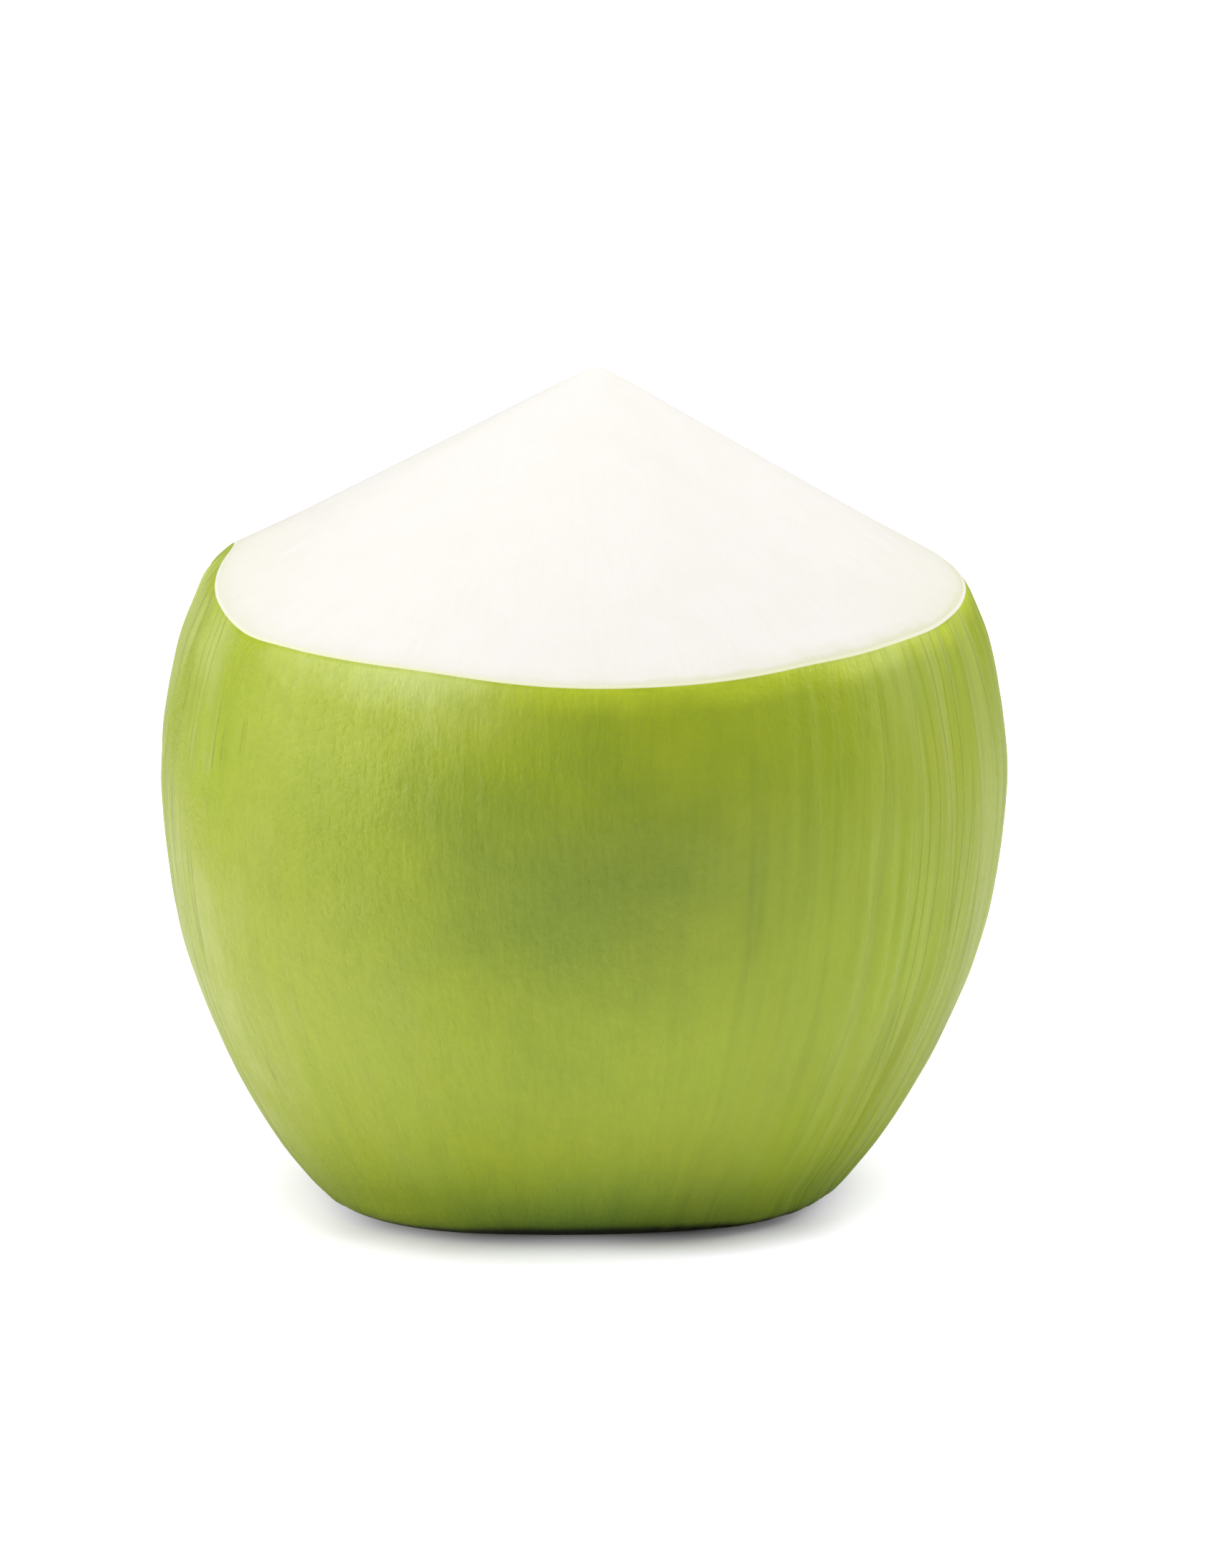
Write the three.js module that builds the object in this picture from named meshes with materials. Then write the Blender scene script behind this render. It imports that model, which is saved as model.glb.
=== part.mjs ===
// A green coconut trimmed for drinking: the whole fruit in its husk, standing on the flat spot of its
// stem end, with the top pared to a pale cone. Millimetres, +Z up, the front towards -Y, and the origin
// on the flat spot, under the middle of the fruit's outline.
import * as THREE from "three";

// The fruit in its skin: [radius, height above the flat spot], joined by a smooth curve. The first
// point is the edge of the flat spot, and the last two belong to the crown that the knife takes away.
const SKIN_OUTLINE = [
  [37.4, 0],
  [42.4, 0.9],
  [47.4, 4.2],
  [55.3, 14],
  [64.4, 30],
  [72.0, 50],
  [75.7, 75],
  [73.8, 95],
  [69.9, 107],
  [61.5, 117],
  [49.0, 127],
];
const LEAN = 0.008; // the fruit's lean to the right, per unit of height

// The husk's three long ridges, as a share of the radius. They fade out upwards.
const RIDGE_SWELL = 0.055;
const RIDGE_FADE_HEIGHT = 112;
const RIDGE_AZIMUTH = -25.1; // degrees from +X

// The unevenness of a grown fruit: [waves round the fruit, share of the radius, azimuth in degrees].
const UNEVENNESS = [
  [2, -0.01, 0],
  [4, -0.004, -78.5],
  [5, 0.01, -4.3],
];

// The cone that the knife leaves. Its point stands a little off the middle, and it leans to the front
// and to the right.
const CONE_POINT = new THREE.Vector3(3.97, -5.9, 148.4);
const CONE_SLOPE = 0.575; // fall per unit of distance from the point
const CONE_FALL_TO_RIGHT = 0.036;
const CONE_FALL_TO_FRONT = 0.125;
const POINT_BLUNTING = 1.3;

const AROUND = 96; // facets round the fruit
const UP = 26; // rows of facets up the skin
const CONE_ROWS = [0.2, 0.4, 0.6, 0.8, 0.92, 0.97, 0.988]; // from the rim (0) to the point (1)

const skinCurve = new THREE.SplineCurve(
  SKIN_OUTLINE.map(([r, z]) => new THREE.Vector2(r, z)),
);

// A point of the skin: azimuth in radians, t from 0 at the flat spot to 1 at the crown.
function skinPoint(azimuth, t) {
  const { x: radius, y: height } = skinCurve.getPoint(t);
  const fade = Math.max(0, 1 - height / RIDGE_FADE_HEIGHT);
  const ridge = 3 * (azimuth - THREE.MathUtils.degToRad(RIDGE_AZIMUTH));
  let share = 1 + RIDGE_SWELL * fade * Math.cos(ridge);
  for (const [waves, size, at] of UNEVENNESS)
    share += size * Math.cos(waves * (azimuth - THREE.MathUtils.degToRad(at)));
  return new THREE.Vector3(
    radius * share * Math.cos(azimuth) + LEAN * height,
    radius * share * Math.sin(azimuth),
    height,
  );
}

// The height of the cone over a place in the plan.
function coneHeight(x, y) {
  const right = x - CONE_POINT.x;
  const back = y - CONE_POINT.y;
  const away = Math.hypot(right, back, POINT_BLUNTING) - POINT_BLUNTING;
  return (
    CONE_POINT.z -
    CONE_SLOPE * away -
    CONE_FALL_TO_RIGHT * right +
    CONE_FALL_TO_FRONT * back
  );
}

// Where the skin meets the cone at this azimuth, found by halving.
function rimT(azimuth) {
  let below = 0.5;
  let above = 1;
  for (let i = 0; i < 40; i++) {
    const t = (below + above) / 2;
    const p = skinPoint(azimuth, t);
    if (p.z < coneHeight(p.x, p.y)) below = t;
    else above = t;
  }
  return below;
}

// Builds one face of the fruit from rings of points, with a tip that closes the last ring. Seen from
// outside, each ring runs anticlockwise round the tip. The two faces keep their own points, so that
// the knife's edge between them stays sharp.
const positions = [];
const corners = [];
const geometry = new THREE.BufferGeometry();
function addFace(rings, tip, material) {
  const firstPoint = positions.length / 3;
  const firstCorner = corners.length;
  for (const p of [...rings.flat(), tip]) positions.push(p.x, p.y, p.z);
  for (let row = 0; row < rings.length; row++)
    for (let i = 0; i < AROUND; i++) {
      const a = firstPoint + row * AROUND + i;
      const b = firstPoint + row * AROUND + ((i + 1) % AROUND);
      if (row + 1 === rings.length)
        corners.push(a, b, firstPoint + rings.length * AROUND);
      else corners.push(a, b, b + AROUND, a, b + AROUND, a + AROUND);
    }
  geometry.addGroup(firstCorner, corners.length - firstCorner, material);
}

const azimuths = Array.from(
  { length: AROUND },
  (_, i) => (i / AROUND) * 2 * Math.PI,
);
const rimTs = azimuths.map(rimT);
const rim = azimuths.map((azimuth, i) => skinPoint(azimuth, rimTs[i]));

// The pared cone, from the rim up to the point.
const coneRings = CONE_ROWS.map((share) =>
  rim.map((p) => {
    const q = p.clone().lerp(CONE_POINT, share);
    return q.setZ(coneHeight(q.x, q.y));
  }),
);
addFace([rim, ...coneRings], CONE_POINT, 1);

// The skin, from the rim down to the flat spot, and over it to the middle.
const skinRings = Array.from({ length: UP + 1 }, (_, row) =>
  azimuths.map((azimuth, i) => skinPoint(azimuth, rimTs[i] * (1 - row / UP))),
);
const stemEnd = new THREE.Vector3(0, 0, 0);
const flatSpotRing = skinRings[UP].map((p) => p.clone().lerp(stemEnd, 0.5));
addFace(
  [...skinRings, flatSpotRing].map((ring) => [...ring].reverse()),
  stemEnd,
  0,
);

geometry.setAttribute("position", new THREE.Float32BufferAttribute(positions, 3));
geometry.setIndex(corners);
geometry.computeVertexNormals();

// The origin goes under the middle of the fruit's outline.
geometry.computeBoundingBox();
const outlineMiddle = geometry.boundingBox.getCenter(new THREE.Vector3());
geometry.translate(-outlineMiddle.x, -outlineMiddle.y, 0);

const skin = new THREE.MeshStandardMaterial({
  color: 0x93a53c,
  roughness: 0.45,
  metalness: 0,
});
const cutHusk = new THREE.MeshStandardMaterial({
  color: 0xf3ecdd,
  roughness: 0.8,
  metalness: 0,
});

const coconut = new THREE.Mesh(geometry, [skin, cutHusk]);
coconut.name = "coconut";

export default new THREE.Group().add(coconut);
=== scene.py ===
import math

import bpy
import numpy as np
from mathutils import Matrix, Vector


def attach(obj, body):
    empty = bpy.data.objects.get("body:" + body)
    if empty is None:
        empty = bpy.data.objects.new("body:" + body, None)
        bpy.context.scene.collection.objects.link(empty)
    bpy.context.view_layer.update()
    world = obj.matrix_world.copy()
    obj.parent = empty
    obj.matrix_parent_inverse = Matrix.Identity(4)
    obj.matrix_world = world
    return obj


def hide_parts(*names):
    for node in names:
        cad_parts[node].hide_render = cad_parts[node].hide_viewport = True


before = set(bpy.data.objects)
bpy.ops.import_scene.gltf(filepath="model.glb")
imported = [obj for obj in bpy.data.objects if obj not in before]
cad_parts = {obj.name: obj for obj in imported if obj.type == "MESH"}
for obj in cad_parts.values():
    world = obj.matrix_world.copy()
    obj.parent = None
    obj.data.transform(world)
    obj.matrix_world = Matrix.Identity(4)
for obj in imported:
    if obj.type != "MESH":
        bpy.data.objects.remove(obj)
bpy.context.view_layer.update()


# ---- The coconut ------------------------------------------------------------------------------
# The whole fruit in its husk, grown in one piece round three long ridges: a tight, waxy green skin
# over pale fibre. A knife has pared its top to a cone, which lays the fibre bare, and it stands on
# the flat spot of its stem end. The sizes are in millimetres.
SKIN_OUTLINE = np.array(
    [
        # radius and height, joined by a smooth curve
        (37.4, 0),
        (42.4, 0.9),
        (47.4, 4.2),
        (55.3, 14),
        (64.4, 30),
        (72.0, 50),
        (75.7, 75),
        (73.8, 95),
        (69.9, 107),
        (61.5, 117),
        (49.0, 127),
    ],
    float,
)
LEAN = 0.008  # to the right, for each millimetre up
RIDGE_SWELL = 0.055  # share of the radius at the foot
RIDGE_FADE_HEIGHT = 112
RIDGE_AZIMUTH = math.radians(-25.1)
UNEVENNESS = [
    # waves round the fruit, share of the radius, azimuth
    (2, -0.01, math.radians(0)),
    (4, -0.004, math.radians(-78.5)),
    (5, 0.01, math.radians(-4.3)),
]
SWELLS = [
    # azimuth, height, reach round in degrees, reach up, how far the skin stands out at SWELL_RADIUS
    (178, 113.5, 30, 4.5, 1.75),
    (182, 101.0, 35, 9.0, -0.25),
    (0, 110.5, 28, 4.5, 0.7),
    (-46, 1.5, 22, 3.6, 4.0),
    (-128, 1.5, 22, 3.6, 3.4),
]
SWELL_RADIUS = 70
CONE_POINT = np.array([3.97, -5.9, 148.4])
CONE_SLOPE = 0.575
CONE_FALL_TO_RIGHT = 0.036
CONE_FALL_TO_FRONT = 0.125
POINT_BLUNTING = 1.3
RIM_LIFTS = np.array(
    [
        # azimuth, how far the knife stayed above the plain cone
        (-142, 0.1),
        (-112, 0.0),
        (-106, -0.25),
        (-100, -0.5),
        (-94, -0.6),
        (-88, -0.5),
        (-80, -0.25),
        (-70, 0.0),
        (-58, 0.3),
        (-48, 0.0),
        (-30, 0.0),
        (-24, 0.35),
        (-12, 1.0),
        (-5, 1.1),
        (8, 0.55),
        (25, 0.0),
        (158, 0.0),
        (165, 0.15),
        (170, 0.4),
        (180, 1.75),
        (187, 2.25),
        (194, 2.1),
        (201, 1.2),
        (210, 0.6),
        (225, 0.3),
        (245, 0.0),
    ],
    float,
)


def outline_at(t):
    """Radius and height of the skin's outline, for t from 0 at the flat spot's edge to 1."""
    last = len(SKIN_OUTLINE) - 1
    place = np.clip(t, 0, 1) * last
    i = np.minimum(np.floor(place).astype(int), last - 1)
    w = (place - i)[..., None]
    before = SKIN_OUTLINE[np.maximum(i - 1, 0)]
    here = SKIN_OUTLINE[i]
    there = SKIN_OUTLINE[i + 1]
    after = SKIN_OUTLINE[np.minimum(i + 2, last)]
    v0 = (there - before) / 2
    v1 = (after - here) / 2
    spot = (2 * here - 2 * there + v0 + v1) * w**3
    spot += (-3 * here + 3 * there - 2 * v0 - v1) * w**2 + v0 * w + here
    return spot[..., 0], spot[..., 1]


def skin_point(azimuth, t):
    """A point of the skin before its fine relief."""
    radius, height = outline_at(t)
    fade = np.maximum(0, 1 - height / RIDGE_FADE_HEIGHT)
    share = 1 + RIDGE_SWELL * fade * np.cos(3 * (azimuth - RIDGE_AZIMUTH))
    for waves, size, at in UNEVENNESS:
        share = share + size * np.cos(waves * (azimuth - at))
    for turn, at, reach_round, reach_up, size in SWELLS:
        off = ((np.degrees(azimuth) - turn + 180) % 360 - 180) / reach_round
        share = share + size / SWELL_RADIUS * np.exp(-(off**2) - ((height - at) / reach_up) ** 2)
    x = radius * share * np.cos(azimuth) + LEAN * height
    y = radius * share * np.sin(azimuth)
    return np.stack([x, y, height + 0 * azimuth], -1)


def cone_height(x, y):
    """The height of the cone over a place in the plan."""
    right = x - CONE_POINT[0]
    back = y - CONE_POINT[1]
    away = np.sqrt(right**2 + back**2 + POINT_BLUNTING**2) - POINT_BLUNTING
    fall = CONE_SLOPE * away + CONE_FALL_TO_RIGHT * right - CONE_FALL_TO_FRONT * back
    return CONE_POINT[2] - fall


def rim_lift(azimuth):
    """How far the knife stayed above the plain cone, evened out over six degrees."""
    lift = 0
    nearby = np.radians(np.linspace(-3, 3, 13))
    for step in nearby:
        turn = np.degrees(azimuth + step)
        lift = lift + np.interp(turn, RIM_LIFTS[:, 0], RIM_LIFTS[:, 1], period=360) / len(nearby)
    return lift


def rim_t(azimuth):
    """Where the outline meets the cone, found by halving."""
    lift = rim_lift(azimuth)
    below = np.full(azimuth.shape, 0.5)
    above = np.ones(azimuth.shape)
    for _ in range(40):
        t = (below + above) / 2
        p = skin_point(azimuth, t)
        inside = p[..., 2] < cone_height(p[..., 0], p[..., 1]) + lift
        below = np.where(inside, t, below)
        above = np.where(inside, above, t)
    return below


# The skin's own relief: long fibre ridges, strongest on the flanks, and broad soft dimples. It
# dies out at the flat spot and at the cut.
FIBRE_RIDGES = [
    # cells round the fruit, cell height, height of the relief, seed
    (120, 52.0, 0.20, 11),
    (210, 36.0, 0.14, 12),
    (340, 34.0, 0.085, 13),
]
DIMPLES = [
    # the same four
    (16, 34.0, 0.35, 21),
    (38, 13.0, 0.12, 22),
    (90, 5.5, 0.04, 23),
    (190, 2.5, 0.018, 24),
]
CHANCE_REACH = 200  # how far up the skin the chance values run
FACE_RELIEF = 0.2  # share of the ridges that is left on the plain face
FIBRE_STRAY = 0.02  # how far the ridges stray sideways, in radians


def chance_over(azimuth, up, cells_round, cell_height, seed):
    """Smooth chance unevenness from -1 to 1, which closes round the fruit."""
    rows = int(CHANCE_REACH / cell_height) + 3
    values = np.random.default_rng(seed).uniform(-1, 1, (rows, cells_round))
    across = (azimuth / (2 * math.pi)) % 1 * cells_round
    along = np.clip(up, 0, CHANCE_REACH - 10) / cell_height
    i = np.floor(across).astype(int) % cells_round
    k = np.floor(along).astype(int)
    u = across % 1
    v = along % 1
    u = u * u * (3 - 2 * u)
    v = v * v * (3 - 2 * v)
    j = (i + 1) % cells_round
    low = values[k, i] * (1 - u) + values[k, j] * u
    high = values[k + 1, i] * (1 - u) + values[k + 1, j] * u
    return low * (1 - v) + high * v


def smooth_step(low, high, x):
    share = np.clip((x - low) / (high - low), 0, 1)
    return share * share * (3 - 2 * share)


def skin_relief(azimuth, up, rim_up):
    """How far the skin stands proud of its plain form."""
    side = np.cos(azimuth)
    on_flank = np.maximum(smooth_step(0.15, 0.8, side), smooth_step(-0.72, -0.95, side))
    flank = FACE_RELIEF + (1 - FACE_RELIEF) * on_flank
    strayed = azimuth + FIBRE_STRAY * chance_over(azimuth, up, 24, 30, 14)
    height = np.zeros(azimuth.shape)
    for cells, tall, size, seed in FIBRE_RIDGES:
        height += size * flank * chance_over(strayed, up, cells, tall, seed)
    for cells, tall, size, seed in DIMPLES:
        height += size * chance_over(azimuth, up, cells, tall, seed)
    return height * smooth_step(1, 14, up) * smooth_step(0.3, 5, rim_up - up)


# Rings of points run from the middle of the stem end up to the cone's point, each one starting at
# the back of the fruit. Up is measured along the outline from the flat spot's edge.
AROUND = 720
azimuths = math.pi / 2 + np.arange(AROUND) / AROUND * 2 * math.pi
fine_t = np.linspace(0, 1, 4001)
fine_r, fine_h = outline_at(fine_t)
fine_up = np.concatenate([[0], np.cumsum(np.hypot(np.diff(fine_r), np.diff(fine_h)))])
rim_up = np.interp(rim_t(azimuths), fine_t, fine_up)
rim = skin_point(azimuths, np.interp(rim_up, fine_up, fine_t))
rim_to_point = np.hypot(rim[:, 0] - CONE_POINT[0], rim[:, 1] - CONE_POINT[1])
ring_points = []
ring_ups = []
ring_pasts = []  # how far inside the rim each point is, and below nought on the skin
ring_finishes = []


def add_ring(points, up, past_rim, finish):
    """Keeps a ring of points, its two measures, and the finish of the faces above it."""
    ring_points.append(points)
    ring_ups.append(up + np.zeros(len(points)))
    ring_pasts.append(past_rim + np.zeros(len(points)))
    ring_finishes.append(finish)


# The stem end: a shallow corky scar in the middle of the flat spot, where the stalk came away.
SCAR_RADIUS = 11.0
SCAR_DEPTH = 2.6
SCAR_WAVINESS = 0.07
CORK_BUMPS = 0.25
FLAT_SPOT_RADIUS = SKIN_OUTLINE[0, 0]
FAR_FROM_RIM = -150
STEM_END_RINGS = [
    # distance from the middle, points round
    (1.2, 90),
    (2.4, 90),
    (3.6, 90),
    (4.8, 90),
    (6.0, 180),
    (7.0, 180),
    (8.0, 180),
    (9.0, 180),
    (10.0, 180),
    (11.0, 180),
    (12.5, 180),
    (15.0, 180),
    (19.0, 180),
    (24.0, 360),
    (29.0, 360),
    (33.5, 360),
]
add_ring(np.array([[0, 0, SCAR_DEPTH]]), -FLAT_SPOT_RADIUS, FAR_FROM_RIM, "scar")
for away, count in STEM_END_RINGS:
    directions = azimuths[:: AROUND // count]
    points = skin_point(directions, np.zeros(count)) * away / FLAT_SPOT_RADIUS
    wavy = away * (1 + SCAR_WAVINESS * chance_over(directions, 0 * directions, 14, 50, 31))
    bumpy = CORK_BUMPS * chance_over(directions, 0 * directions + 3 * away, 40, 4, 32)
    hollow = 1 - smooth_step(0.6 * SCAR_RADIUS, SCAR_RADIUS, wavy)
    points[:, 2] = hollow * (SCAR_DEPTH + bumpy)
    finish = "scar" if away < SCAR_RADIUS else "skin"
    add_ring(points, away - FLAT_SPOT_RADIUS, FAR_FROM_RIM, finish)
first_skin_ring = len(ring_points)

# The skin, up to the thin edge where the knife has cut it.
SKIN_ROWS = 112
CUT_EDGE = 0.18  # half the width of the skin's cut edge
EDGE_DROP = 0.1  # how far its middle lies below the plain rim
NUDGE = 1e-4  # a small step round the fruit and up it, to find which way is outwards
for row in range(SKIN_ROWS + 1):
    up = (rim_up - CUT_EDGE) * row / SKIN_ROWS
    t = np.interp(up, fine_up, fine_t)
    round_it = skin_point(azimuths + NUDGE, t) - skin_point(azimuths - NUDGE, t)
    up_it = skin_point(azimuths, t + NUDGE) - skin_point(azimuths, t - NUDGE * (t > NUDGE))
    outwards = np.cross(round_it, up_it)
    outwards /= np.linalg.norm(outwards, axis=1)[:, None]
    points = skin_point(azimuths, t) + outwards * skin_relief(azimuths, up, rim_up)[:, None]
    add_ring(points, up, up - rim_up, "skin" if row < SKIN_ROWS else "cut")
first_cone_ring = len(ring_points)
add_ring(rim - [0, 0, EDGE_DROP], rim_up, 0, "cut")

# The pared cone, in strokes of the knife from the rim up to the point. Its rings are closest by the
# rim, and have fewer points as they grow small.
CONE_ROWS = 46
FINE_STRIP = 2.0
STROKE_RELIEF = 0.10
STROKE_SLANT = 0.004  # in radians, for each millimetre inwards
first_inwards = np.array([[CUT_EDGE], [0.7], [1.2], [FINE_STRIP]]) / rim_to_point
left_over = (1 - np.arange(1, CONE_ROWS) / CONE_ROWS) ** 1.5
later_inwards = 1 - left_over[:, None] * (1 - FINE_STRIP / rim_to_point)
for inwards in np.concatenate([first_inwards, later_inwards]):
    points = rim + (CONE_POINT - rim) * inwards[:, None]
    past_rim = rim_to_point * inwards
    lift = rim_lift(azimuths) * (1 - smooth_step(0, 14, past_rim))
    points[:, 2] = cone_height(points[:, 0], points[:, 1]) + lift
    strokes = chance_over(azimuths + past_rim * STROKE_SLANT, past_rim, 34, 42, 41)
    fade = smooth_step(0, 10, past_rim) * smooth_step(0, 0.5, 1 - inwards)
    points[:, 2] -= STROKE_RELIEF * (1 + strokes) * fade
    remaining = 1 - inwards[0]
    every = 1 if remaining > 0.96 else 2 if remaining > 0.3 else 4 if remaining > 0.06 else 8
    add_ring(points[::every], (rim_up + past_rim)[::every], past_rim[::every], "cut")
add_ring(CONE_POINT[None], np.mean(rim_up + rim_to_point), rim_to_point[0], "cut")

# The same rings laid flat, for textures: the skin as a strip that opens at the back, with the
# cone and the flat spot as discs above it.
STRIP_HEIGHT = 0.6
STRIP_REACH = 150
STRIP_MARGIN = 0.004
CONE_DISC = (0.205, 0.80, 0.19 / 76)  # middle, and scale per millimetre
FLAT_DISC = (0.62, 0.80, 0.17 / 42)


def laid_flat(ring, part):
    """Places of a ring's points on the flat sheet, with the first one again at the end."""
    closed = np.concatenate([ring_points[ring], ring_points[ring][:1]])
    if part == "strip":
        up = np.append(ring_ups[ring], ring_ups[ring][0])
        place_up = up / STRIP_REACH * STRIP_HEIGHT + STRIP_MARGIN
        return np.stack([np.linspace(0, 1, len(closed)), place_up], -1)
    x, y, scale = CONE_DISC if part == "cone" else FLAT_DISC
    return closed[:, :2] * scale + (x, y)


def faces_between(low, high):
    """Faces from a ring of so many points to the next ring: corners as (0 or 1, point)."""
    if low == high:
        return [[(0, j), (0, j + 1), (1, j + 1), (1, j)] for j in range(low)]
    if high == 1:
        return [[(0, j), (0, j + 1), (1, 0)] for j in range(low)]
    if low == 1:
        return [[(0, 0), (1, j + 1), (1, j)] for j in range(high)]
    faces = []
    for j in range(min(low, high)):
        if low > high:
            faces.append([(0, 2 * j), (0, 2 * j + 1), (1, j)])
            faces.append([(0, 2 * j + 1), (1, j + 1), (1, j)])
            faces.append([(0, 2 * j + 1), (0, 2 * j + 2), (1, j + 1)])
        else:
            faces.append([(0, j), (1, 2 * j + 1), (1, 2 * j)])
            faces.append([(0, j), (0, j + 1), (1, 2 * j + 1)])
            faces.append([(0, j + 1), (1, 2 * j + 2), (1, 2 * j + 1)])
    return faces


FINISH_ORDER = ["skin", "cut", "scar"]
first_of_ring = np.cumsum([0] + [len(points) for points in ring_points])
faces = []
flat_places = []
face_finishes = []
for ring in range(len(ring_points) - 1):
    counts = len(ring_points[ring]), len(ring_points[ring + 1])
    part = "flat spot" if ring < first_skin_ring else "strip" if ring < first_cone_ring else "cone"
    places = laid_flat(ring, part), laid_flat(ring + 1, part)
    for corners in faces_between(*counts):
        faces.append([int(first_of_ring[ring + side]) + j % counts[side] for side, j in corners])
        flat_places.extend(places[side][j] for side, j in corners)
        face_finishes.append(FINISH_ORDER.index(ring_finishes[ring]))

# The mesh, in metres. Its origin lies on the floor, under the middle of the fruit's widest part.
widest_part = np.linspace(0.4, 0.8, 200)
plain_skin = np.concatenate([skin_point(azimuths, np.full(AROUND, t)) for t in widest_part])
outline_middle = (plain_skin.min(0) + plain_skin.max(0)) / 2 * (1, 1, 0)
points = np.concatenate(ring_points)
coconut_mesh = bpy.data.meshes.new("coconut_mesh")
coconut_mesh.from_pydata((points - outline_middle) / 1000, [], faces)
coconut_mesh.polygons.foreach_set("material_index", face_finishes)
coconut_mesh.shade_smooth()
sheet = coconut_mesh.uv_layers.new(name="OFBake")
sheet.data.foreach_set("uv", np.array(flat_places, np.float32).ravel())

# Two measures for the finishes: a place on a plain drum, where the third number follows the fibres
# up the skin, and the distance inside the rim.
DRUM_RADIUS = 75
turned = np.arctan2(points[:, 1], points[:, 0])
grown = np.stack(
    [DRUM_RADIUS * np.cos(turned), DRUM_RADIUS * np.sin(turned), np.concatenate(ring_ups)], -1
)
grown_place = coconut_mesh.attributes.new("grown_place", "FLOAT_VECTOR", "POINT")
grown_place.data.foreach_set("vector", grown.astype(np.float32).ravel())
past_rim = coconut_mesh.attributes.new("past_rim", "FLOAT", "POINT")
past_rim.data.foreach_set("value", np.concatenate(ring_pasts).astype(np.float32))
coconut = bpy.data.objects.new("coconut_in_husk", coconut_mesh)
bpy.context.scene.collection.objects.link(coconut)


def add_node(tree, kind, inputs=None, **settings):
    """Adds a node, sets it up, and gives each named input a number, a colour or another output."""
    node = tree.nodes.new(kind)
    for name, value in settings.items():
        setattr(node, name, value)
    for name, value in (inputs or {}).items():
        give(tree, node.inputs[name], value)
    return node


def give(tree, socket, value):
    if isinstance(value, bpy.types.NodeSocket):
        tree.links.new(value, socket)
    else:
        socket.default_value = value


def maths(tree, operation, a, b=0.0):
    node = add_node(tree, "ShaderNodeMath", operation=operation)
    give(tree, node.inputs[0], a)
    give(tree, node.inputs[1], b)
    return node.outputs[0]


def times(tree, value, *others):
    """The product of outputs and numbers, taken from left to right."""
    for other in others:
        value = maths(tree, "MULTIPLY", value, other)
    return value


def vector_maths(tree, operation, a, b=(0, 0, 0)):
    node = add_node(tree, "ShaderNodeVectorMath", operation=operation)
    give(tree, node.inputs[0], a)
    give(tree, node.inputs[1], b)
    return node.outputs["Value" if operation == "LENGTH" else "Vector"]


def mix(tree, share, a, b, blend="MIX"):
    """A colour that is this share of the way from a to b, or from a to a times b."""
    node = add_node(tree, "ShaderNodeMix", data_type="RGBA", blend_type=blend)
    give(tree, node.inputs[0], share)
    give(tree, node.inputs[6], a)
    give(tree, node.inputs[7], b)
    return node.outputs[2]


def between(tree, value, low, high, at_low=0.0, at_high=1.0):
    """A value that goes smoothly from at_low to at_high while the given one goes from low to high."""
    ends = {"From Min": low, "From Max": high, "To Min": at_low, "To Max": at_high}
    node = add_node(tree, "ShaderNodeMapRange", {"Value": value, **ends}, interpolation_type="SMOOTHSTEP")
    return node.outputs["Result"]


def new_group(name, takes, gives):
    """A node group with these named inputs, each with its start value, and one value put out."""
    group = bpy.data.node_groups.new(name, "ShaderNodeTree")
    group.interface.new_socket("Place", in_out="INPUT", socket_type="NodeSocketVector")
    for title, start in takes.items():
        socket = group.interface.new_socket(title, in_out="INPUT", socket_type="NodeSocketFloat")
        socket.default_value = start
    group.interface.new_socket(gives, in_out="OUTPUT", socket_type="NodeSocketFloat")
    return group, add_node(group, "NodeGroupInput").outputs, add_node(group, "NodeGroupOutput").inputs


def use_group(tree, group, place, **values):
    """Places a group in a material with its own values, and gives the value that it puts out."""
    node = add_node(tree, "ShaderNodeGroup", node_tree=group)
    give(tree, node.inputs["Place"], place)
    for title, value in values.items():
        give(tree, node.inputs[title.capitalize()], value)
    return node.outputs[0]


def new_material(name):
    """A material, with its node tree and the shader of its surface."""
    material = bpy.data.materials.new(name)
    material.use_nodes = True
    return material, material.node_tree, material.node_tree.nodes["Principled BSDF"]


def grown_measures(tree):
    """The place on the plain drum, whole and as three numbers, and the distance inside the rim."""
    grown_at = add_node(tree, "ShaderNodeAttribute", attribute_name="grown_place").outputs["Vector"]
    apart = add_node(tree, "ShaderNodeSeparateXYZ", {"Vector": grown_at}).outputs
    inside_rim = add_node(tree, "ShaderNodeAttribute", attribute_name="past_rim").outputs["Fac"]
    return grown_at, apart, inside_rim


def place_in_millimetres(tree):
    place = add_node(tree, "ShaderNodeVectorMath", {"Scale": 1000.0}, operation="SCALE")
    give(tree, place.inputs[0], add_node(tree, "ShaderNodeTexCoord").outputs["Object"])
    return place.outputs[0]


def add_relief(tree, surface, height, strength, reach):
    """Gives a surface fine relief from a height, with its reach in metres."""
    bump = add_node(tree, "ShaderNodeBump", {"Height": height, "Strength": strength, "Distance": reach})
    give(tree, surface.inputs["Normal"], bump.outputs["Normal"])


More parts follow.
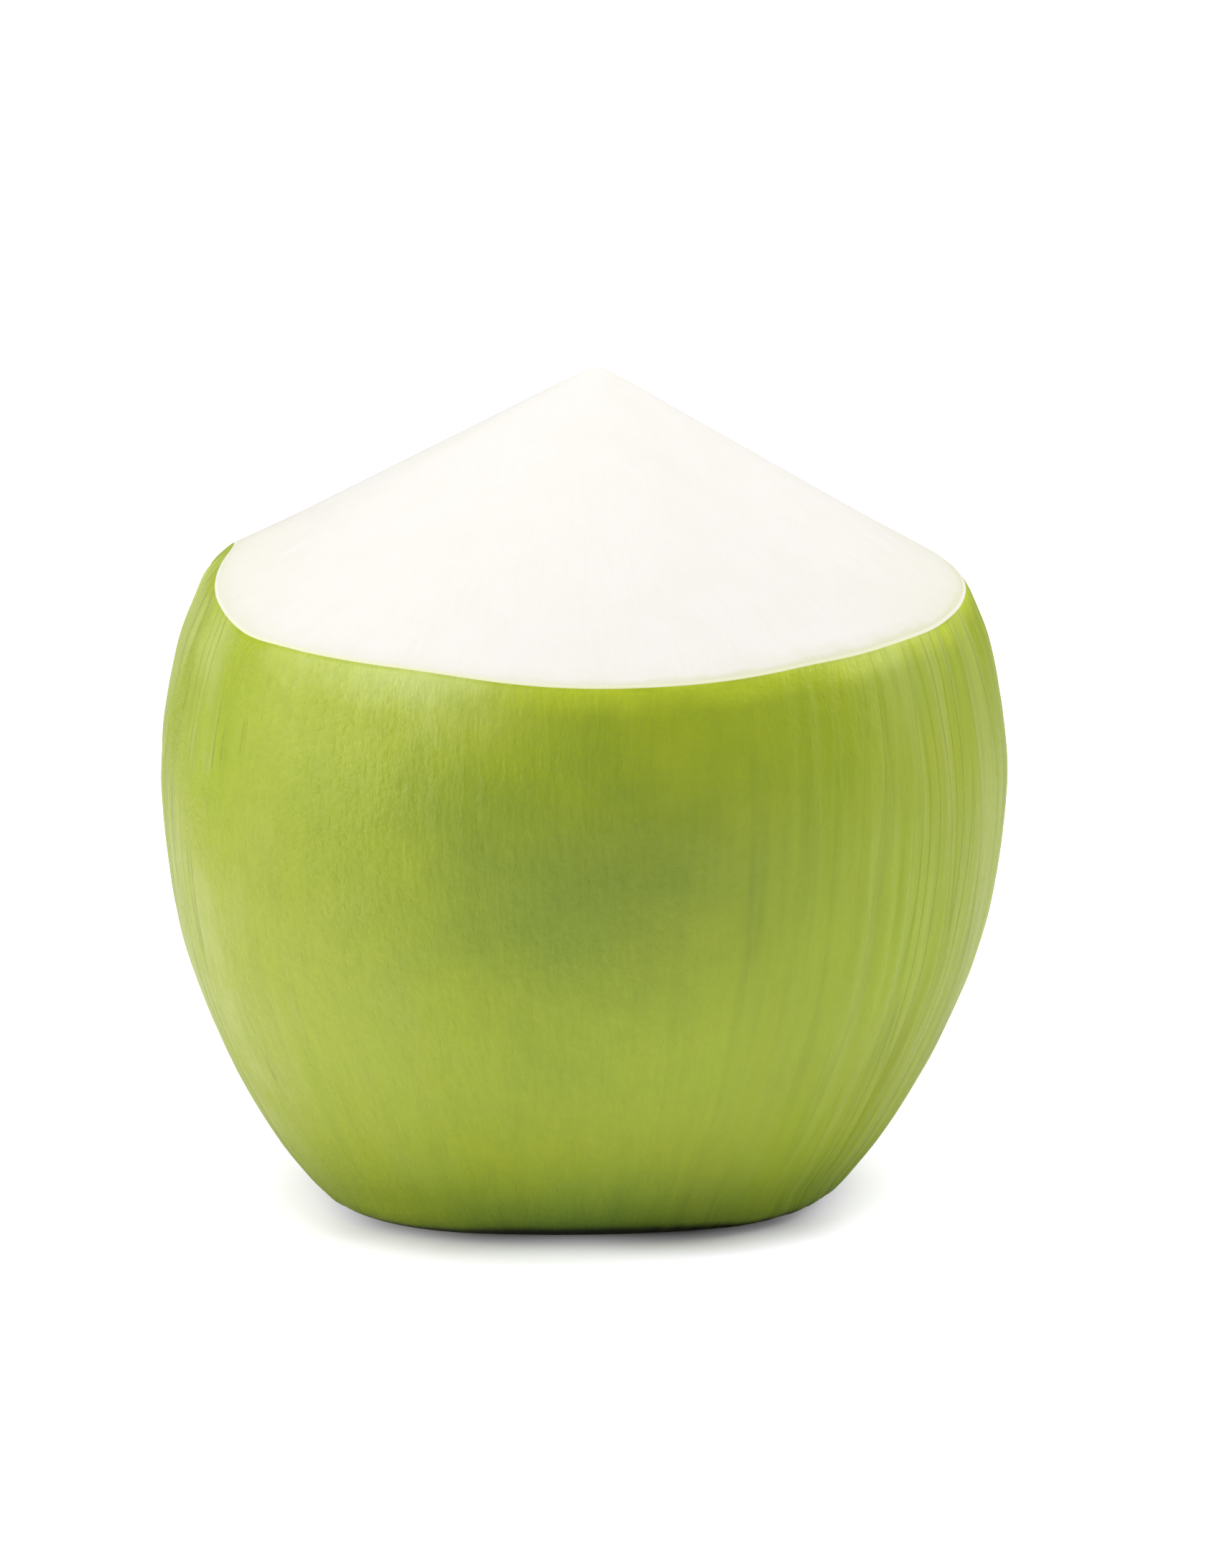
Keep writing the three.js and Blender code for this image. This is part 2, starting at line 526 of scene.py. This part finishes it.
# Fibre streaks: chance streaks of one width and length that run along the third direction.
fibre_streaks, taken, given = new_group(
    "fibre streaks", {"Width": 2.0, "Length": 60.0, "Fineness": 2.0}, "Streaks"
)
across = maths(fibre_streaks, "DIVIDE", 1.0, taken["Width"])
along = maths(fibre_streaks, "DIVIDE", 1.0, taken["Length"])
squeeze = add_node(fibre_streaks, "ShaderNodeCombineXYZ", {"X": across, "Y": across, "Z": along})
squeezed = vector_maths(fibre_streaks, "MULTIPLY", taken["Place"], squeeze.outputs[0])
noise = add_node(
    fibre_streaks,
    "ShaderNodeTexNoise",
    {"Vector": squeezed, "Scale": 1.0, "Detail": taken["Fineness"], "Roughness": 0.5},
)
give(fibre_streaks, given["Streaks"], noise.outputs[0])

# Mottling: soft chance patches of one size, the same in all directions.
mottling, taken, given = new_group("mottling", {"Size": 5.0, "Fineness": 2.0, "Coarseness": 0.5}, "Mottle")
noise = add_node(
    mottling,
    "ShaderNodeTexNoise",
    {
        "Vector": taken["Place"],
        "Scale": maths(mottling, "DIVIDE", 1.0, taken["Size"]),
        "Detail": taken["Fineness"],
        "Roughness": taken["Coarseness"],
    },
)
give(mottling, given["Mottle"], noise.outputs[0])

# The green skin is thin, tight and waxy. Its green is deep on the face, yellower on the flanks and
# close under the cut, and brownish round the scar of the stalk. It has painted highlights on the
# shoulder and a painted sheen on the left flank, and painted shade darkens the foot, most in a thin
# line where the foot leaves the floor.
FRESH_GREEN = (0.42, 0.53, 0.022, 1)
DEEP_GREEN = (0.27, 0.38, 0.018, 1)
YELLOW_GREEN = (0.50, 0.57, 0.02, 1)
BRIGHT_GREEN = (0.475, 0.61, 0.024, 1)
# Painted highlight and sheen colours: the pale green, which also colours the fibre bands, the bloom green
# and the soft green.
PALE_BAND_AND_SHEEN_GREEN = (0.55, 0.62, 0.145, 1)
HIGHLIGHT_GREEN = (0.78, 0.88, 0.30, 1)
LIME_GREEN = (0.63, 0.745, 0.036, 1)
KEEN_GREEN = (0.44, 0.55, 0.012, 1)
FOOT_SHADE_GREEN = (0.26, 0.425, 0.045, 1)
SHADED_GREEN = (0.12, 0.19, 0.03, 1)
CONTACT_SHADOW_DARK = (0.015, 0.02, 0.01, 1)
SOFT_HIGHLIGHT_GREEN = (0.60, 0.69, 0.06, 1)
STALK_BROWN = (0.30, 0.25, 0.08, 1)
DARKER = (0.64, 0.72, 0.50, 1)
GROOVE_SHADE = (0.58, 0.70, 0.30, 1)
# The palest spots, on the left shoulder and flank, close under the cut and high on the back, are painted
# highlights and painted sheen; the others are the skin's own tone.
SPOTS = [
    # azimuth, place up the skin, reach across and up in millimetres, colour, strength
    (-150, 64, 52, 60, YELLOW_GREEN, 0.7),
    (-162, 62, 46, 60, PALE_BAND_AND_SHEEN_GREEN, 0.85),
    (-128, 55, 40, 42, PALE_BAND_AND_SHEEN_GREEN, 0.3),
    (-122, 122, 54, 36, SOFT_HIGHLIGHT_GREEN, 0.55),
    (-172, 118, 24, 30, HIGHLIGHT_GREEN, 0.7),
    (-145, 104, 17, 30, KEEN_GREEN, 1.0),
    (-105, 114, 18, 12, HIGHLIGHT_GREEN, 0.2),
    (-152, 119, 15, 10, HIGHLIGHT_GREEN, 0.35),
    (-62, 90, 24, 26, DEEP_GREEN, 0.3),
    (-105, 96, 14, 16, DEEP_GREEN, 0.25),
    (-68, 46, 30, 28, BRIGHT_GREEN, 0.5),
    (-48, 66, 36, 40, BRIGHT_GREEN, 0.9),
    (-50, 30, 24, 24, BRIGHT_GREEN, 0.6),
    (-88, 81, 42, 38, DEEP_GREEN, 0.8),
    (-76, 61, 38, 20, BRIGHT_GREEN, 0.35),
    (-112, 122, 42, 12, HIGHLIGHT_GREEN, 0.85),
    (15, 80, 50, 60, YELLOW_GREEN, 0.7),
    (62, 90, 44, 46, DEEP_GREEN, 0.6),
    (118, 60, 40, 50, BRIGHT_GREEN, 0.8),
    (165, 110, 40, 24, DEEP_GREEN, 0.3),
    (88, 124, 44, 14, HIGHLIGHT_GREEN, 0.4),
]

green_skin, tree, surface = new_material("green_skin")
grown_at, apart, inside_rim = grown_measures(tree)
to_right, to_back, up_skin = apart["X"], apart["Y"], apart["Z"]
blotches = use_group(tree, mottling, grown_at, size=17, fineness=4, coarseness=0.5)
colour = mix(tree, between(tree, blotches, 0.35, 0.65, 0, 0.25), FRESH_GREEN, YELLOW_GREEN)
ragged = maths(tree, "SUBTRACT", blotches, 0.5)
for turn, up, across, tall, pigment, strength in SPOTS:
    azimuth = math.radians(turn)
    middle = (DRUM_RADIUS * math.cos(azimuth), DRUM_RADIUS * math.sin(azimuth), up)
    offset = vector_maths(tree, "SUBTRACT", grown_at, middle)
    away = vector_maths(tree, "LENGTH", vector_maths(tree, "DIVIDE", offset, (across, across, tall)))
    spread = maths(tree, "ADD", away, ragged)
    colour = mix(tree, between(tree, spread, 1.0, 0.1, 0, strength), colour, pigment)

# Painted shade darkens the foot in front, most low down, and a painted contact shadow makes it darkest in a
# line just over the floor.
at_front = times(tree, between(tree, to_right, -50, -8, 0.3, 1), between(tree, to_right, 8, 36, 1, 0.7))
ragged_up = maths(tree, "ADD", up_skin, times(tree, ragged, 9))
foot = times(tree, between(tree, ragged_up, 32, 9, 0, 0.8), at_front)
colour = mix(tree, foot, colour, FOOT_SHADE_GREEN)
off_flat_spot = between(tree, up_skin, 0, 5)
low_foot = times(tree, between(tree, up_skin, 13.5, 6.5, 0, 0.55), at_front, off_flat_spot)
colour = mix(tree, low_foot, colour, SHADED_GREEN)
sideways = maths(tree, "ABSOLUTE", to_right)
over_contact = maths(tree, "ADD", up_skin, between(tree, sideways, 10, 44, -1.6, -0.5))
over_contact = maths(tree, "ADD", over_contact, between(tree, to_right, -50, -15, 0.9, 0))
painted_contact_shadow = times(tree, between(tree, over_contact, 9.2, 6.2, 0, 0.93), off_flat_spot)
colour = mix(tree, painted_contact_shadow, colour, CONTACT_SHADOW_DARK)
colour = mix(tree, between(tree, up_skin, -16, -27, 0, 0.8), colour, STALK_BROWN)

# Close under the cut the skin turns lime green on the right, and its last millimetre is bruised in
# places all the way round.
under_cut = maths(tree, "ADD", inside_rim, times(tree, ragged, 4))
limed = times(tree, between(tree, under_cut, -6, -0.8, 0, 0.75), between(tree, to_right, -20, 0))
colour = mix(tree, limed, colour, LIME_GREEN)
bruised = between(tree, inside_rim, -1.1, -0.3, 0, 0.55)
bruised = times(tree, bruised, between(tree, blotches, 0.4, 0.55))
colour = mix(tree, bruised, colour, KEEN_GREEN)

# The fibres show through as long tapered bands, clear on the right and weaker low on the left, with
# narrow grooves between them on the right flank and at the far left. Elsewhere the skin is finely
# mottled, in short soft dashes.
right_face = times(tree, between(tree, to_right, 4, 38, 0, 0.75), between(tree, up_skin, 112, 84, 0.3, 1))
left_face = times(tree, between(tree, to_right, -12, -40, 0, 0.45), between(tree, up_skin, 80, 50))
right_flank = between(tree, to_right, 42, 62)
strayed = maths(tree, "ADD", to_right, times(tree, ragged, 60))
far_left = between(tree, strayed, -57, -71)
back = between(tree, to_back, 0, 60)
grooved = maths(tree, "MAXIMUM", right_flank, far_left)
grooved = times(tree, grooved, maths(tree, "SUBTRACT", 1.0, times(tree, back, 0.6)))
ribbed = right_face
for banded in (times(tree, back, 0.5), left_face, grooved):
    ribbed = maths(tree, "MAXIMUM", ribbed, banded)
plain = maths(tree, "SUBTRACT", 1.0, times(tree, ribbed, 0.7))
patches = use_group(tree, mottling, grown_at, size=6, fineness=3, coarseness=0.55)
patches = times(tree, between(tree, patches, 0.40, 0.68, 0, 0.14), plain)
colour = mix(tree, patches, colour, DARKER, "MULTIPLY")
bands = use_group(tree, fibre_streaks, grown_at, width=4.5, length=90, fineness=1.5)
paled = between(tree, bands, 0.44, 0.58, 0, 0.48)
paled = times(tree, paled, between(tree, up_skin, 12, 50, 0.3, 1))
paler = mix(tree, grooved, BRIGHT_GREEN, PALE_BAND_AND_SHEEN_GREEN)
colour = mix(tree, times(tree, paled, ribbed), colour, paler)
deep_bands = use_group(tree, fibre_streaks, grown_at, width=3.4, length=50, fineness=2)
deepened = between(tree, deep_bands, 0.48, 0.66, 0, 0.3)
deepened = times(tree, deepened, between(tree, ribbed, 0, 1, 0.2, 1))
colour = mix(tree, deepened, colour, DARKER, "MULTIPLY")
fibres = use_group(tree, fibre_streaks, grown_at, width=3.4, length=90, fineness=0.5)
off_middle = maths(tree, "ABSOLUTE", maths(tree, "SUBTRACT", fibres, 0.5))
groove = times(tree, between(tree, off_middle, 0.0, 0.045, 1, 0), grooved)
colour = mix(tree, times(tree, groove, 0.33), colour, GROOVE_SHADE, "MULTIPLY")
dashes = use_group(tree, fibre_streaks, grown_at, width=1.1, length=4.5, fineness=2)
dashed = times(tree, between(tree, dashes, 0.42, 0.7, 0, 0.08), plain)
colour = mix(tree, dashed, colour, DARKER, "MULTIPLY")
leather = use_group(tree, mottling, grown_at, size=1.3, fineness=2.5, coarseness=0.6)
leathered = times(tree, between(tree, leather, 0.38, 0.68, 0, 0.10), plain)
colour = mix(tree, leathered, colour, DARKER, "MULTIPLY")
give(tree, surface.inputs["Base Color"], colour)
give(tree, surface.inputs["Roughness"], between(tree, leather, 0.3, 0.7, 0.40, 0.50))

# The wax is dull low on the right flank. The leathery relief is boldest at the far left, and the
# bands and grooves stand out wherever they show.
waxless = times(tree, between(tree, to_right, 28, 56), between(tree, up_skin, 62, 14))
give(tree, surface.inputs["Specular IOR Level"], between(tree, waxless, 0, 1, 0.5, 0.12))
grain = use_group(tree, mottling, grown_at, size=0.8, fineness=2)
to_left = maths(tree, "ADD", to_right, times(tree, back, 60))
embossed = times(tree, leather, between(tree, to_left, -15, -62, 0.32, 1.25))
relief = maths(tree, "ADD", embossed, times(tree, dashes, 0.45))
relief = maths(tree, "ADD", times(tree, relief, plain), times(tree, grain, 0.12))
relief = maths(tree, "ADD", relief, times(tree, bands, ribbed, 0.8))
groove = times(tree, groove, between(tree, far_left, 0, 1, 0.23, 0.85))
add_relief(tree, surface, maths(tree, "SUBTRACT", relief, groove), strength=0.6, reach=0.0006)

# The cut husk is damp, close white fibre. It turns yellowish within a few millimetres of the skin,
# and the skin's own cut edge is a thin cream line round it. Painted shade yellows and darkens it
# further in at the two sides, and sets how strong its yellowish rim band is from left to right.
HUSK_WHITE = (0.917, 0.883, 0.84, 1)
HUSK_SHADE = (0.873, 0.846, 0.79, 1)
HUSK_YELLOW_AND_SHADE = (0.83, 0.82, 0.68, 1)
RIND_TINT = (0.77, 0.775, 0.55, 1)
EDGE_CREAM = (0.89, 0.885, 0.61, 1)

cut_husk, tree, surface = new_material("cut_husk")
grown_at, apart, inside_rim = grown_measures(tree)
to_right = apart["X"]
place = place_in_millimetres(tree)
clouds = use_group(tree, mottling, place, size=9, fineness=4, coarseness=0.6)
colour = mix(tree, between(tree, clouds, 0.4, 0.7, 0, 0.3), HUSK_WHITE, HUSK_SHADE)
fibres = use_group(tree, fibre_streaks, grown_at, width=0.9, length=9, fineness=3)
colour = mix(tree, between(tree, fibres, 0.5, 0.7, 0, 0.25), colour, HUSK_SHADE)
uneven = use_group(tree, mottling, grown_at, size=5, fineness=3)
ragged_in = times(tree, inside_rim, between(tree, uneven, 0.35, 0.65, 1.25, 0.8))
at_side = between(tree, maths(tree, "ABSOLUTE", to_right), 50, 74)
# Painted shade: yellower and darker at the two sides, far into the cut.
side_shade = times(tree, at_side, between(tree, ragged_in, 20, 1, 0, 0.5))
colour = mix(tree, side_shade, colour, HUSK_YELLOW_AND_SHADE)
# The rim band is the husk's own colour; its strength from left to right is painted shade.
yellowed = between(tree, to_right, -68, -45, 0.65, 0.25)
yellowed = maths(tree, "MAXIMUM", yellowed, between(tree, to_right, 0, 45, 0, 0.65))
yellowed = times(tree, yellowed, between(tree, ragged_in, 4.5, 0.8))
colour = mix(tree, yellowed, colour, HUSK_YELLOW_AND_SHADE)
tinted = between(tree, to_right, -30, 35, 0.15, 0.75)
tinted = times(tree, tinted, between(tree, ragged_in, 1.7, 0.7))
colour = mix(tree, tinted, colour, RIND_TINT)
cream = mix(tree, times(tree, at_side, 0.7), EDGE_CREAM, HUSK_WHITE)
colour = mix(tree, between(tree, inside_rim, 0.5, 0.25), colour, cream)
give(tree, surface.inputs["Base Color"], colour)
pith = use_group(tree, mottling, place, size=0.6, fineness=3, coarseness=0.6)
give(tree, surface.inputs["Roughness"], between(tree, pith, 0.3, 0.7, 0.72, 0.9))
relief = maths(tree, "ADD", times(tree, pith, 0.5), times(tree, fibres, 0.5))
add_relief(tree, surface, relief, strength=0.3, reach=0.0004)

# The stem scar is dry brown cork.
CORK_DARK = (0.09, 0.058, 0.028, 1)
CORK_PALE = (0.33, 0.25, 0.13, 1)

stem_scar, tree, surface = new_material("stem_scar")
cork = use_group(tree, mottling, place_in_millimetres(tree), size=1.6, fineness=5, coarseness=0.65)
give(tree, surface.inputs["Base Color"], mix(tree, between(tree, cork, 0.35, 0.65), CORK_DARK, CORK_PALE))
give(tree, surface.inputs["Roughness"], between(tree, cork, 0.3, 0.7, 0.8, 0.95))
add_relief(tree, surface, cork, strength=0.8, reach=0.001)

for material in (green_skin, cut_husk, stem_scar):
    coconut_mesh.materials.append(material)
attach(coconut, "root")
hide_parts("coconut")


# ---- The floor --------------------------------------------------------------------------------
# A sheet of white paper, painted darker round the fruit's foot as a painted shadow. It glows a little
# away from the fruit's foot, so that only the shadow close to the foot shows and the rest runs into
# the white surround.
FLOOR_REACH = 4.0
PAPER_WHITE = (0.9, 0.9, 0.9, 1)
PAPER_SHADE_AT_FOOT = (0.82, 0.80, 0.83, 1)
PAPER_ROUND_FOOT = (0.78, 0.735, 0.97, 1)  # offsets the green light that the fruit throws on it
GLOW = 0.2  # lights the foot of the fruit from below
SEEN_GLOW = 0.62  # only seen, and lights nothing
FAR_SEEN_GLOW = 0.8  # on top of that, a long way off

floor_mesh = bpy.data.meshes.new("floor_mesh")
floor_corners = [(x * FLOOR_REACH, y * FLOOR_REACH, 0) for x, y in ((-1, -1), (1, -1), (1, 1), (-1, 1))]
floor_mesh.from_pydata(floor_corners, [], [(0, 1, 2, 3)])
floor = bpy.data.objects.new("floor", floor_mesh)
bpy.context.scene.collection.objects.link(floor)
white_paper, tree, surface = new_material("white_paper")
surface.inputs["Roughness"].default_value = 0.9
surface.inputs["Specular IOR Level"].default_value = 0.1
surface.inputs["Emission Color"].default_value = (1, 1, 1, 1)
floor_at = add_node(tree, "ShaderNodeTexCoord").outputs["Object"]
away = vector_maths(tree, "LENGTH", floor_at)
# The shadow reaches furthest between the front and the sides, where the fruit's ridges stand out.
sideways = add_node(tree, "ShaderNodeSeparateXYZ", {"Vector": floor_at}).outputs["X"]
sideways = maths(tree, "ABSOLUTE", maths(tree, "DIVIDE", sideways, away))
reach = maths(tree, "ADD", between(tree, sideways, 0, 0.5, 1, 0.9), between(tree, sideways, 0.7, 1, 0, 0.15))
away = times(tree, away, reach)
# Painted shadow: the paper is darker near the foot, and tinted to offset the green light that the fruit
# throws on it.
paper = mix(tree, between(tree, away, 0.04, 0.052), PAPER_SHADE_AT_FOOT, PAPER_ROUND_FOOT)
paper = mix(tree, between(tree, away, 0.06, 0.14), paper, PAPER_WHITE)
give(tree, surface.inputs["Base Color"], paper)
glow = between(tree, away, 0.040, 0.072, 0, GLOW)
seen = add_node(tree, "ShaderNodeLightPath").outputs["Is Camera Ray"]
seen_glow = between(tree, away, 0.0335, 0.056, 0, SEEN_GLOW)
far_glow = between(tree, away, 0.3, 1.2, 0, FAR_SEEN_GLOW)
shown = times(tree, seen, maths(tree, "ADD", seen_glow, far_glow))
give(tree, surface.inputs["Emission Strength"], maths(tree, "ADD", glow, shown))
floor_mesh.materials.append(white_paper)


# ---- The light and the camera -----------------------------------------------------------------
# Soft white lights: three overhead, a pair on the left and on the right, two weak ones behind, and
# a white surround that is seen but gives no light.
FRUIT_MIDDLE = Vector((0, 0, 0.07))


def add_softbox(name, azimuth, elevation, size, power, away=1.0):
    """A soft light aimed at the fruit. Azimuth runs from the front towards the right."""
    light = bpy.data.lights.new(name, "AREA")
    light.shape = "RECTANGLE"
    light.size, light.size_y = size
    light.energy = power
    box = bpy.data.objects.new(name, light)
    a, e = math.radians(azimuth), math.radians(elevation)
    arm = Vector((math.sin(a) * math.cos(e), -math.cos(a) * math.cos(e), math.sin(e)))
    box.location = FRUIT_MIDDLE + arm * away
    box.rotation_euler = (-arm).to_track_quat("-Z", "Y").to_euler()
    box.visible_camera = False
    bpy.context.scene.collection.objects.link(box)


add_softbox("overhead_left_light", -60, 70, (0.3, 0.3), 3.4)
add_softbox("overhead_right_light", 60, 70, (0.3, 0.3), 3.9)
add_softbox("overhead_light", 0, 90, (0.35, 0.35), 1.4)
add_softbox("left_front_light", -55, 8, (0.4, 0.3), 1.8)
add_softbox("left_light", -80, 20, (0.3, 0.6), 2.0)
add_softbox("right_light", 98, 33, (0.35, 0.4), 2.7)
add_softbox("low_right_light", 104, 8, (0.4, 0.3), 0.35)
add_softbox("left_edge_light", -118, 8, (0.6, 0.3), 0.5)
add_softbox("right_edge_light", 140, 18, (0.4, 0.4), 0.12)

surround = bpy.data.worlds.new("white_surround")
surround.use_nodes = True
bpy.context.scene.world = surround
tree = surround.node_tree
background = tree.nodes["Background"]
background.inputs["Color"].default_value = (1, 1, 1, 1)
seen = add_node(tree, "ShaderNodeLightPath").outputs["Is Camera Ray"]
give(tree, background.inputs["Strength"], seen)
bpy.context.scene.view_settings.view_transform = "Standard"

# The camera looks a little down on the front, from just under a metre away.
LOOKS_DOWN = math.radians(10)
CAMERA_AWAY = 0.927
CAMERA_RAISED = 0.0011
LENS = 118.86
SENSOR_WIDTH = 36
camera_data = bpy.data.cameras.new("camera")
camera_data.lens = LENS
camera_data.sensor_width = SENSOR_WIDTH
camera = bpy.data.objects.new("camera", camera_data)
aim = Vector((0.00378, -0.0010, 0.072))
backwards = Vector((0, -math.cos(LOOKS_DOWN), math.sin(LOOKS_DOWN)))
upwards = Vector((0, math.sin(LOOKS_DOWN), math.cos(LOOKS_DOWN)))
camera.location = aim + backwards * CAMERA_AWAY + upwards * CAMERA_RAISED
camera.rotation_euler = (math.radians(90) - LOOKS_DOWN, 0, 0)
bpy.context.scene.collection.objects.link(camera)
bpy.context.scene.camera = camera
